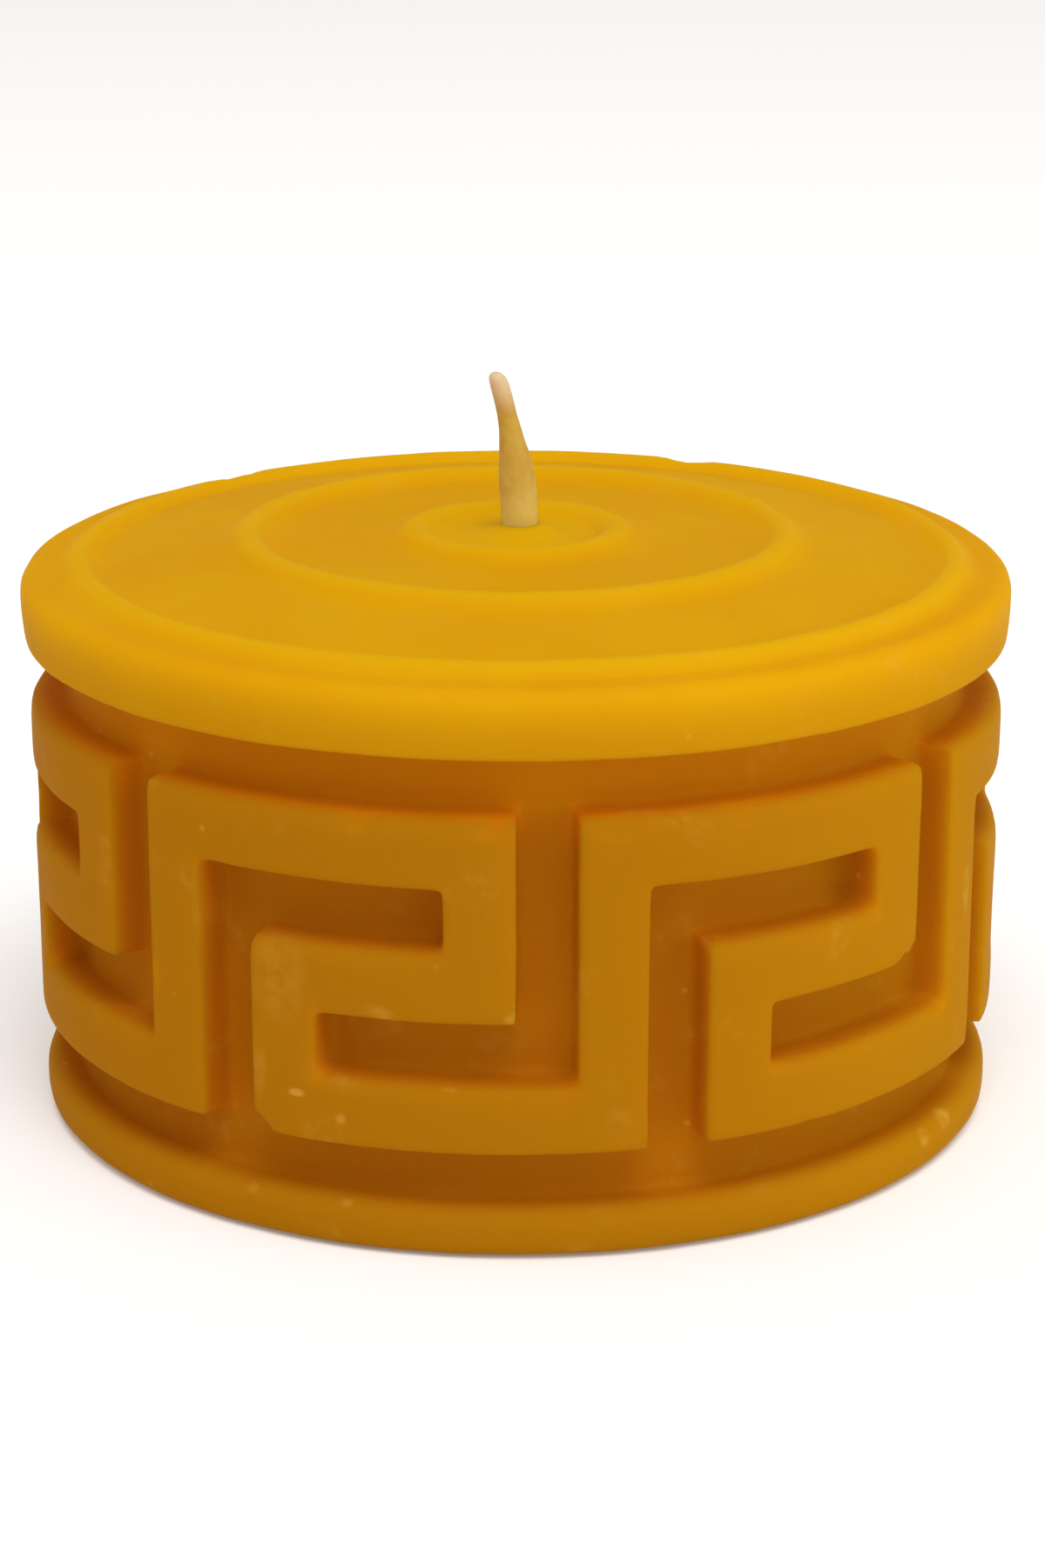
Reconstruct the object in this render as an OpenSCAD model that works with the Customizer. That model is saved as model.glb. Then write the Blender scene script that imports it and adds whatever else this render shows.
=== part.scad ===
// Low round beeswax pillar candle with a raised key pattern round its side,
// three rings on its top and a waxed cotton wick.
// Millimetres. +Z is up and the origin is the centre of the flat base.
// The front of the candle faces -Y.

/* [Candle] */
// Diameter of the cap, which is the widest part of the candle
candle_d = 80; // [66:1:110]
// Height of the foot ring that the candle stands on
foot_h = 4.15; // [2.5:0.05:8]
// Height of the plain groove above the foot, and of the one below the cap
groove_h = 4.25; // [2:0.05:8]
// Height of the cap, from its lower edge to the crest of its outer ring
cap_h = 6.45; // [4.8:0.05:10]
// How far the foot ring stands back from the cap's side
foot_inset = 0.6; // [0.2:0.1:2]

/* [Key pattern] */
// How many times the key repeats round the candle
key_count = 7; // [5:1:8]
// Width of every raised bar
bar_w = 5.65; // [4:0.05:6.6]
// Width of the upright gaps on both sides of a riser
gap_w = 4.4; // [3:0.1:5.6]
// Height of the gaps between the level bars
gap_h = 4.65; // [3:0.05:6.5]
// How far the bars stand out from the floor of the pattern
relief_depth = 3.4; // [1.5:0.1:5]
// How far the faces of the bars stand back from the cap's side
relief_inset = 0.4; // [0.2:0.1:2]
// Turn of the first riser's left edge from the front
key_turn = -44.9; // [-180:0.1:180]

/* [Top] */
// Distance from the cap's side to the crest of the outer ring
outer_ring_inset = 4.7; // [3.6:0.1:8]
// Radius of the inner ring's crest
inner_ring_r = 8.2; // [7.5:0.1:11]
// Width of each ring at its root
ring_w = 3.8; // [2:0.1:5]
// Height of each ring above the wax beside it
ring_h = 1.05; // [0.3:0.05:1.5]
// Rise of the top from its edge to its middle
crown_h = 2; // [0:0.05:4]
// Depth of the small dish round the wick
dish_depth = 0.6; // [0:0.1:1.5]
// Radius that rounds the cap's shoulder
shoulder_r = 1.5; // [0.8:0.1:3]

/* [Wick] */
// Diameter of the waxed wick
wick_d = 3.0; // [2.4:0.1:5]
// Thickness of the wax coat on the cotton
coat_t = 0.2; // [0.15:0.05:0.5]
// Length of wick above the wax
wick_out = 14; // [6:0.1:25]
// Angle that the free end of the wick bends through, towards -X
wick_bend = 17.5; // [5:0.5:50]
// How far the wick sits off the middle, towards +X
wick_shift = 0.5; // [0:0.1:3]
// Length of wick in which a strand goes once round
braid_pitch = 9; // [6:0.5:16]

/* [Second pour] */
// Radius of the hollow that the second pour fills, at the base
pour_r = 15; // [8:0.5:24]
// Depth of that hollow
pour_h = 6; // [2:0.5:12]
// Gap left between two pieces that are cast or drawn together
cast_gap = 0.02; // [0.01:0.01:0.1]

/* [Hidden] */

$fn = 96;
// How far a cutter runs past the surface that it cuts
over = 1;
// Length of one straight step along a rounded edge or across the top
arc_steps = 6;
top_step = 0.7;

// Radii of the candle's side
cap_r = candle_d / 2;
foot_r = cap_r - foot_inset;
key_r = cap_r - relief_inset;
floor_r = key_r - relief_depth;

// Levels of the pattern, from the foot up
key_z = foot_h + groove_h;
low_bar_top = key_z + bar_w;
mid_bar_z = low_bar_top + gap_h;
mid_bar_top = mid_bar_z + bar_w;
top_bar_z = mid_bar_top + gap_h;
key_top = top_bar_z + bar_w;
cap_z = key_top + groove_h;
crest_z = cap_z + cap_h;
rim_z = crest_z - ring_h;

// The cap's lower edge stands back a little from its side
lip_inset = 0.25;
edge_round = 1.1;

// Angles of one repeat of the key, measured from its riser's left edge
function arc_angle(width) = width / key_r * 180 / PI;
key_angle = 360 / key_count;
bar_a = arc_angle(bar_w);
gap_a = arc_angle(gap_w);
riser_end = bar_a;
second_start = riser_end + gap_a;
second_end = second_start + bar_a;
third_end = key_angle - gap_a;
third_start = third_end - bar_a;

// Rings on the top, the middle one halfway between the other two
outer_ring_r = cap_r - outer_ring_inset;
middle_ring_r = (outer_ring_r + inner_ring_r) / 2;
rings = [outer_ring_r, middle_ring_r, inner_ring_r];

// Height of the top at a radius: a shallow crown, its rings and the dish
function crown(r) = crown_h * (1 - pow(min(r / outer_ring_r, 1), 4));
function bump(r, ring) = abs(r - ring) < ring_w / 2
    ? ring_h * pow(cos(180 * (r - ring) / ring_w), 2)
    : 0;
function dish(r) = r < inner_ring_r
    ? dish_depth * pow(cos(90 * r / inner_ring_r), 2)
    : 0;
function sum(values) = [for (v = values) 1] * values;
function top_z(r) = rim_z + crown(r) - dish(r) + sum([for (ring = rings) bump(r, ring)]);

// The wick's own sizes, outwards from its middle
wick_r = wick_d / 2;
coat_in_r = wick_r - coat_t;
bore_r = wick_r + cast_gap;
braid_reach = coat_in_r - cast_gap;
// Four strands cross in turn: their middles swing out and in by strand_swing
strand_gap = 0.02;
strand_r = (braid_reach - 3 * strand_gap) / 4;
strand_swing = strand_r + strand_gap;
strand_mid_r = 2 * strand_swing;
strand_sides = 6;
rings_per_turn = 24;

// The wick leaves the wax upright and bends along an arc from there
wax_z = top_z(0);
tip_h = 1.0;
tip_r = wick_r * 0.55;
bend_len = wick_out - tip_h;
bend_r = bend_len / (wick_bend * PI / 180);
strand_len = wax_z + bend_len - coat_t;

function rounded(cx, cz, r, from, to) = [
    for (i = [0 : arc_steps])
        let (a = from + (to - from) * i / arc_steps)
        [cx + r * cos(a), cz + r * sin(a)]
];

// Half section of the casting without its key pattern
function half_section() = let (
    top_start = cap_r - shoulder_r,
    top_count = ceil(top_start / top_step)
) concat(
    [[0, 0]],
    rounded(foot_r - edge_round, edge_round, edge_round, -90, 0),
    rounded(foot_r - edge_round, foot_h - edge_round, edge_round, 0, 90),
    [[floor_r, foot_h], [floor_r, cap_z], [cap_r - lip_inset, cap_z]],
    rounded(cap_r - shoulder_r, rim_z - shoulder_r, shoulder_r, 0, 90),
    [for (i = [1 : top_count]) let (r = top_start * (1 - i / top_count)) [r, top_z(r)]]
);

// Gap through the band, from the edge of a bar through an angle that is
// negative when it runs clockwise
module key_gap(edge, sweep, low, high) {
    rotate([0, 0, edge])
        mirror([0, sweep < 0 ? 1 : 0, 0])
            rotate_extrude(angle = abs(sweep))
                translate([floor_r - 2 * over, low])
                    square([relief_depth + 3 * over, high - low]);
}

// The gaps of one repeat. On each side of its riser an upright gap, open at
// the top or at the bottom, turns into a level gap that ends at a bar.
module key_gaps() {
    key_gap(riser_end, gap_a, key_z - over, top_bar_z - gap_h / 2);
    key_gap(riser_end, third_start - riser_end, mid_bar_top, top_bar_z);
    key_gap(key_angle, -gap_a, low_bar_top + gap_h / 2, key_top + over);
    key_gap(key_angle, second_end - key_angle, low_bar_top, mid_bar_z);
}

// The raised bars: a ring, set into the floor of the pattern, with its gaps
module key_band() {
    difference() {
        rotate_extrude()
            translate([floor_r - over, key_z])
                square([relief_depth + over, key_top - key_z]);
        for (k = [0 : key_count - 1])
            rotate([0, 0, key_turn - 90 + k * key_angle]) key_gaps();
    }
}

// Hollow round the wick in the base, a little larger than what fills it
module pour_hollow(gap) {
    translate([wick_shift, 0, -over])
        cylinder(h = over + pour_h / 2, r = pour_r + gap);
    translate([wick_shift, 0, pour_h / 2])
        cylinder(h = pour_h / 2 + gap, r1 = pour_r + gap, r2 = bore_r + 2);
}

module wick_bore(length) {
    translate([wick_shift, 0, -over])
        cylinder(h = length + 2 * over, r = bore_r);
}

module wax_body() {
    color([0.87, 0.62, 0.06])
        difference() {
            union() {
                rotate_extrude() polygon(half_section());
                key_band();
            }
            pour_hollow(cast_gap);
            wick_bore(wax_z + over);
        }
}

module base_fill() {
    color([0.90, 0.67, 0.14])
        difference() {
            intersection() {
                pour_hollow(0);
                translate([wick_shift - 2 * pour_r, -2 * pour_r, 0])
                    cube([4 * pour_r, 4 * pour_r, pour_h]);
            }
            wick_bore(pour_h);
        }
}

// Round rod along the wick, from the base to the end of its bend
module wick_rod(r, low) {
    translate([wick_shift, 0, low])
        cylinder(h = wax_z - low, r = r);
    translate([wick_shift - bend_r, 0, wax_z])
        rotate([90, 0, 0])
            rotate_extrude(angle = wick_bend)
                translate([bend_r, 0])
                    circle(r);
}

// Moves a child that stands at the origin to the end of the bend
module at_wick_end() {
    translate([wick_shift - bend_r, 0, wax_z])
        rotate([0, -wick_bend, 0])
            translate([bend_r, 0, 0])
                children();
}

// Short core that runs through a joint of the coat, inside its wall
module joint_core() {
    translate([0, 0, -tip_h / 2])
        cylinder(h = tip_h, r = (wick_r + coat_in_r) / 2);
}

module wick_coat() {
    color([0.86, 0.68, 0.40])
        difference() {
            union() {
                wick_rod(wick_r, 0);
                translate([wick_shift, 0, wax_z]) joint_core();
                at_wick_end() joint_core();
                at_wick_end() cylinder(h = tip_h, r1 = wick_r, r2 = tip_r);
            }
            wick_rod(coat_in_r, -over);
        }
}

// Carries a point of the straight wick onto the bent one
function bent(p) = p[2] <= wax_z
    ? [wick_shift + p[0], p[1], p[2]]
    : let (a = (p[2] - wax_z) / bend_len * wick_bend)
      [wick_shift - bend_r + (bend_r + p[0]) * cos(a), p[1], wax_z + (bend_r + p[0]) * sin(a)];

// One strand of the braid. way is 1 or -1, the sense in which it goes round
module strand(way, start) {
    count = ceil(strand_len / braid_pitch * rings_per_turn);
    points = [
        for (i = [0 : count])
            let (
                z = strand_len * i / count,
                turn = 360 * z / braid_pitch,
                mid = strand_mid_r + way * strand_swing * cos(2 * turn),
                cx = mid * cos(way * turn + start),
                cy = mid * sin(way * turn + start)
            )
            for (j = [0 : strand_sides - 1])
                let (a = 360 * j / strand_sides)
                bent([cx + strand_r * cos(a), cy + strand_r * sin(a), z])
    ];
    last = count * strand_sides;
    sides = [
        for (i = [0 : count - 1], j = [0 : strand_sides - 1])
            let (
                low = i * strand_sides + j,
                low_next = i * strand_sides + (j + 1) % strand_sides
            )
            [low, low + strand_sides, low_next + strand_sides, low_next]
    ];
    foot_face = [for (j = [0 : strand_sides - 1]) j];
    head_face = [for (j = [strand_sides - 1 : -1 : 0]) last + j];
    color([0.93, 0.88, 0.76])
        polyhedron(points, concat([foot_face], sides, [head_face]), convexity = 8);
}

wax_body();
base_fill();
wick_coat();
strand(1, 0);  // wick_strand_1
strand(1, 180);  // wick_strand_2
strand(-1, 0);  // wick_strand_3
strand(-1, 180);  // wick_strand_4
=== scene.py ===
"""Beeswax pillar candle with a raised key band, modelled round its CAD frame.

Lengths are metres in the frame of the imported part: +Z is up, the front faces -Y and the origin is the
centre of the base.
"""

import logging
import math
import random
from dataclasses import dataclass, field
from enum import Enum
from typing import Callable, Optional, Sequence, Union

import bmesh
import bpy
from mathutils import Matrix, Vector

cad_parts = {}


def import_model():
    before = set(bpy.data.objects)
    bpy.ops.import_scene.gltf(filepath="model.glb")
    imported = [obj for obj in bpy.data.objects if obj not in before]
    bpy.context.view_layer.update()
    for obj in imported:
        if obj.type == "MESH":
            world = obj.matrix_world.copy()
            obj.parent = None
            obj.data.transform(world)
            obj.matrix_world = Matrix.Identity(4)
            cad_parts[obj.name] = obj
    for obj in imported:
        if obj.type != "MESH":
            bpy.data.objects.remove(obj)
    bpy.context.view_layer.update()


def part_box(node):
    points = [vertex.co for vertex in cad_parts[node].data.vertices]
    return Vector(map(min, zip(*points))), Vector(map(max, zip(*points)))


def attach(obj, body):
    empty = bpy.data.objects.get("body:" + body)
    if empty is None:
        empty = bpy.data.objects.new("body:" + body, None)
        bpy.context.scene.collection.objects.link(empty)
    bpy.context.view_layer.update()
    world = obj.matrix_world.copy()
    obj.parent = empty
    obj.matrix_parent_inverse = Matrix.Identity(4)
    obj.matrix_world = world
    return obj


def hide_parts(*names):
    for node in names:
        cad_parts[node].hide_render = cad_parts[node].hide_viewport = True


MM = 0.001
WORLD_UP = (0.0, 0.0, 1.0)
CENTRE = (0.0, 0.0, 0.0)
BODY = "root"

LOG = logging.getLogger("candle")

Number = Union[float, "Value"]
Test = Callable[[Vector, Vector], bool]


class Part(Enum):
    """Kind of mesh part that a selection is made of."""

    POINT = "VERT"
    EDGE = "EDGE"
    FACE = "FACE"


class Slot(Enum):
    """Names of the candle's material slots."""

    BEESWAX = "beeswax"
    FILL = "fill_wax"
    WICK = "wick_wax"
    COTTON = "cotton"


# ---------------------------------------------------------------- sizes


@dataclass(frozen=True)
class Bar:
    """One raised bar of the key, as a stretch of angle and height."""

    start: float
    end: float
    low: float
    high: float

    def holds(self, angle: float, height: float) -> bool:
        """Tells whether a point of the band lies in the bar."""
        return self.start < angle < self.end and self.low < height < self.high


@dataclass(frozen=True)
class CandleSizes:
    """Driving sizes of the candle and what follows from them."""

    cap_r: float
    tip_z: float
    foot_h: float = 4.15 * MM
    groove_h: float = 4.25 * MM
    cap_h: float = 6.45 * MM
    foot_inset: float = 0.6 * MM
    key_count: int = 7
    bar_w: float = 5.65 * MM
    gap_w: float = 4.4 * MM
    gap_h: float = 4.65 * MM
    relief_depth: float = 3.4 * MM
    relief_inset: float = 0.4 * MM
    key_turn: float = math.radians(-44.9)
    outer_ring_inset: float = 4.7 * MM
    inner_ring_r: float = 8.2 * MM
    ring_w: float = 3.8 * MM
    ring_h: float = 1.05 * MM
    crown_h: float = 2.0 * MM
    dish_depth: float = 0.6 * MM
    shoulder_r: float = 1.5 * MM
    wick_r: float = 1.5 * MM
    wick_shift: float = 0.5 * MM
    pour_r: float = 15.0 * MM
    pour_h: float = 6.0 * MM

    @classmethod
    def from_frame(cls) -> "CandleSizes":
        """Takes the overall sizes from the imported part.

        Returns:
            The sizes, with the cap's radius and the wick's tip from the frame.
        """
        return cls(cap_r=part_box("wax_body")[1].x, tip_z=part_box("wick_coat")[1].z)

    @property
    def foot_r(self) -> float:
        """Radius of the foot ring."""
        return self.cap_r - self.foot_inset

    @property
    def key_r(self) -> float:
        """Radius of the faces of the bars."""
        return self.cap_r - self.relief_inset

    @property
    def floor_r(self) -> float:
        """Radius of the floor of the pattern."""
        return self.key_r - self.relief_depth

    @property
    def levels(self) -> list[float]:
        """Heights of the bars' edges, from the lowest up."""
        low = self.foot_h + self.groove_h
        steps = [self.bar_w, self.gap_h, self.bar_w, self.gap_h, self.bar_w]
        return [low + sum(steps[:i]) for i in range(len(steps) + 1)]

    @property
    def cap_z(self) -> float:
        """Height of the cap's lower edge."""
        return self.levels[-1] + self.groove_h

    @property
    def rim_z(self) -> float:
        """Height of the top beside its outer ring."""
        return self.cap_z + self.cap_h - self.ring_h

    @property
    def rings(self) -> list[float]:
        """Radii of the crests of the three rings, outermost first."""
        outer = self.cap_r - self.outer_ring_inset
        return [outer, (outer + self.inner_ring_r) / 2, self.inner_ring_r]

    def top_z(self, r: float) -> float:
        """Height of the top without its rings.

        Args:
            r: Distance from the middle.

        Returns:
            Height of the crowned, dished top.
        """
        crown = self.crown_h * (1 - min(r / self.rings[0], 1) ** 4)
        inside = min(r / self.inner_ring_r, 1)
        return self.rim_z + crown - self.dish_depth * math.cos(math.pi / 2 * inside) ** 2

    @property
    def key_angle(self) -> float:
        """Angle that one repeat of the key takes."""
        return 2 * math.pi / self.key_count

    @property
    def stops(self) -> list[float]:
        """Angles in one repeat at which a bar or a gap ends."""
        bar, gap = self.bar_w / self.key_r, self.gap_w / self.key_r
        third_end = self.key_angle - gap
        return [0, bar, bar + gap, 2 * bar + gap, third_end - bar, third_end, self.key_angle]

    @property
    def bars(self) -> list[Bar]:
        """The bars of one repeat of the key."""
        _, riser, second, second_end, third, third_end, end = self.stops
        z = self.levels
        return [
            Bar(0, riser, z[0], z[5]),
            Bar(riser, third_end, z[4], z[5]),
            Bar(third, third_end, z[2], z[5]),
            Bar(second, third_end, z[2], z[3]),
            Bar(second, second_end, z[0], z[3]),
            Bar(second, end, z[0], z[1]),
        ]

    @property
    def first_edge(self) -> float:
        """Angle from +X of the left edge of the first riser."""
        return self.key_turn - math.pi / 2

    def is_bar(self, point: Vector) -> bool:
        """Tells whether a point of the band's floor is covered by a bar.

        Args:
            point: Point on the floor of the pattern.

        Returns:
            True where a bar stands.
        """
        angle = (math.atan2(point.y, point.x) - self.first_edge) % self.key_angle
        return any(bar.holds(angle, point.z) for bar in self.bars)


# ---------------------------------------------------------------- modelling by operators


class Piece:
    """One mesh that is modelled with Blender's operators, as by hand."""

    def __init__(self, name: str, start: Callable[[], object]) -> None:
        """Adds the primitive that the piece is made from.

        Args:
            name: Name of the piece.
            start: Adds one primitive at its place.
        """
        bpy.ops.object.select_all(action="DESELECT")
        start()
        self.obj = bpy.context.active_object
        self.obj.name = self.obj.data.name = name
        bpy.ops.object.transform_apply(location=True, rotation=True, scale=True)
        bpy.ops.object.mode_set(mode="EDIT")
        self.take_all()

    def take_all(self, part: Part = Part.POINT) -> None:
        """Selects the whole mesh."""
        bpy.ops.mesh.select_mode(type=part.value)
        bpy.ops.mesh.select_all(action="SELECT")

    def take(self, part: Part, test: Test) -> int:
        """Selects the points, edges or faces that pass a test.

        Args:
            part: Kind of part to select.
            test: Takes a part's place and normal and says whether it is wanted.

        Returns:
            How many parts were selected.
        """
        bpy.ops.mesh.select_mode(type=part.value)
        bpy.ops.mesh.select_all(action="DESELECT")
        shape = bmesh.from_edit_mesh(self.obj.data)
        if part is Part.FACE:
            wanted = [f for f in shape.faces if test(f.calc_center_median(), f.normal)]
        elif part is Part.EDGE:
            wanted = [
                e for e in shape.edges
                if test((e.verts[0].co + e.verts[1].co) / 2, sum((f.normal for f in e.link_faces), Vector()))
            ]
        else:
            wanted = [v for v in shape.verts if test(v.co, v.normal)]
        for item in wanted:
            item.select_set(True)
        bmesh.update_edit_mesh(self.obj.data)
        return len(wanted)

    def draw(self, points: Sequence[Vector]) -> None:
        """Collapses the primitive to a point and draws a chain of edges from it.

        Args:
            points: Places of the chain's points. The first is the primitive's place.
        """
        bpy.ops.mesh.merge(type="CENTER")
        for last, here in zip(points, points[1:]):
            bpy.ops.mesh.extrude_region_move(TRANSFORM_OT_translate={"value": here - last})

    def spin_round(self, sweeps: Sequence[tuple[float, int]], axis_at: Vector) -> None:
        """Turns the whole chain round an upright axis and closes the seam.

        Args:
            sweeps: Angle and number of steps of each stretch, which add up to a full turn.
            axis_at: A point of the axis.
        """
        self.take_all()
        for angle, steps in sweeps:
            bpy.ops.mesh.spin(steps=steps, angle=-angle, center=axis_at, axis=WORLD_UP)
        self.take_all()
        bpy.ops.mesh.remove_doubles(threshold=0.002 * MM)
        bpy.ops.mesh.normals_make_consistent(inside=False)

    def weigh(self, weight: float) -> None:
        """Adds to the weight that the selected edges have in the bevel to come.

        Args:
            weight: Share of the bevel's full width.
        """
        bpy.ops.transform.edge_bevelweight(value=weight)

    def finish_with(self, kind: str, **settings: object) -> None:
        """Adds a modifier and applies it.

        Args:
            kind: Type of the modifier.
            settings: Its settings.
        """
        if self.obj.mode == "EDIT":
            bpy.ops.object.mode_set(mode="OBJECT")
        bpy.context.view_layer.objects.active = self.obj
        modifier = self.obj.modifiers.new(kind.title(), kind)
        for name, value in settings.items():
            setattr(modifier, name, value)
        bpy.ops.object.modifier_apply(modifier=modifier.name)

    def edit(self) -> None:
        """Goes back to edit mode."""
        bpy.ops.object.mode_set(mode="EDIT")

    def press(self, at: Vector, reach: float, push: Vector) -> None:
        """Pushes the surface softly round one point.

        Args:
            at: Place on the surface.
            reach: Radius that the push fades out over.
            push: How far and which way the middle moves.
        """
        shape = bmesh.from_edit_mesh(self.obj.data)
        bpy.ops.mesh.select_all(action="DESELECT")
        nearest = min(shape.verts, key=lambda v: (v.co - at).length_squared)
        nearest.select_set(True)
        bmesh.update_edit_mesh(self.obj.data)
        bpy.ops.transform.translate(
            value=push,
            use_proportional_edit=True,
            proportional_edit_falloff="SMOOTH",
            proportional_size=reach,
        )

    def done(self, slot: Slot, finish: bpy.types.Material, *nodes: str) -> None:
        """Smooths and dresses the piece, and ties it to the frame.

        Args:
            slot: Material slot; not used.
            finish: Material of the piece.
            nodes: CAD nodes that the piece stands for.
        """
        if self.obj.mode == "EDIT":
            bpy.ops.object.mode_set(mode="OBJECT")
        bpy.ops.object.select_all(action="DESELECT")
        self.obj.select_set(True)
        bpy.context.view_layer.objects.active = self.obj
        bpy.ops.object.shade_smooth()
        self.obj.data.materials.clear()
        self.obj.data.materials.append(finish)
        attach(self.obj, BODY)
        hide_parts(*nodes)
        LOG.info("%s: %d faces", self.obj.name, len(self.obj.data.polygons))


def polar(degrees: float, r: float, z: float) -> Vector:
    """Places a point by its angle round the candle.

    Args:
        degrees: Angle from +X, anticlockwise from above.
        r: Distance from the middle.
        z: Height.

    Returns:
        The point.
    """
    turn = math.radians(degrees)
    return Vector((r * math.cos(turn), r * math.sin(turn), z))


def clouds(name: str, size: float) -> bpy.types.Texture:
    """Makes a cloud texture for a displacement.

    Args:
        name: Name of the texture.
        size: Size of its largest lumps.

    Returns:
        The texture.
    """
    texture = bpy.data.textures.new(name, type="CLOUDS")
    texture.noise_scale = size
    texture.noise_depth = 2
    return texture


# ---------------------------------------------------------------- shader maths


class Value:
    """A number in a material, whose arithmetic adds Math nodes."""

    def __init__(self, graph: "Graph", socket: bpy.types.NodeSocket) -> None:
        """Wraps a socket.

        Args:
            graph: Material that the socket belongs to.
            socket: Socket that gives the number.
        """
        self.graph = graph
        self.socket = socket

    def _math(self, operation: str, *values: Number) -> "Value":
        """Adds one Math node on the values."""
        node = self.graph.node("ShaderNodeMath", {"operation": operation}, dict(enumerate(values)))
        return Value(self.graph, node.outputs[0])

    def __add__(self, other: Number) -> "Value":
        """Sum."""
        return self._math("ADD", self, other)

    __radd__ = __add__

    def __sub__(self, other: Number) -> "Value":
        """Difference."""
        return self._math("SUBTRACT", self, other)

    def __rsub__(self, other: Number) -> "Value":
        """Difference from a plain number."""
        return self._math("SUBTRACT", other, self)

    def __mul__(self, other: Number) -> "Value":
        """Product."""
        return self._math("MULTIPLY", self, other)

    __rmul__ = __mul__

    def ramp(self, low: float, high: float) -> "Value":
        """Goes smoothly from 0 at one value to 1 at another.

        Args:
            low: Value that gives 0.
            high: Value that gives 1.

        Returns:
            The share, which stays between 0 and 1.
        """
        node = self.graph.node(
            "ShaderNodeMapRange",
            {"interpolation_type": "SMOOTHSTEP"},
            {"Value": self, "From Min": low, "From Max": high},
        )
        return Value(self.graph, node.outputs["Result"])


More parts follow.
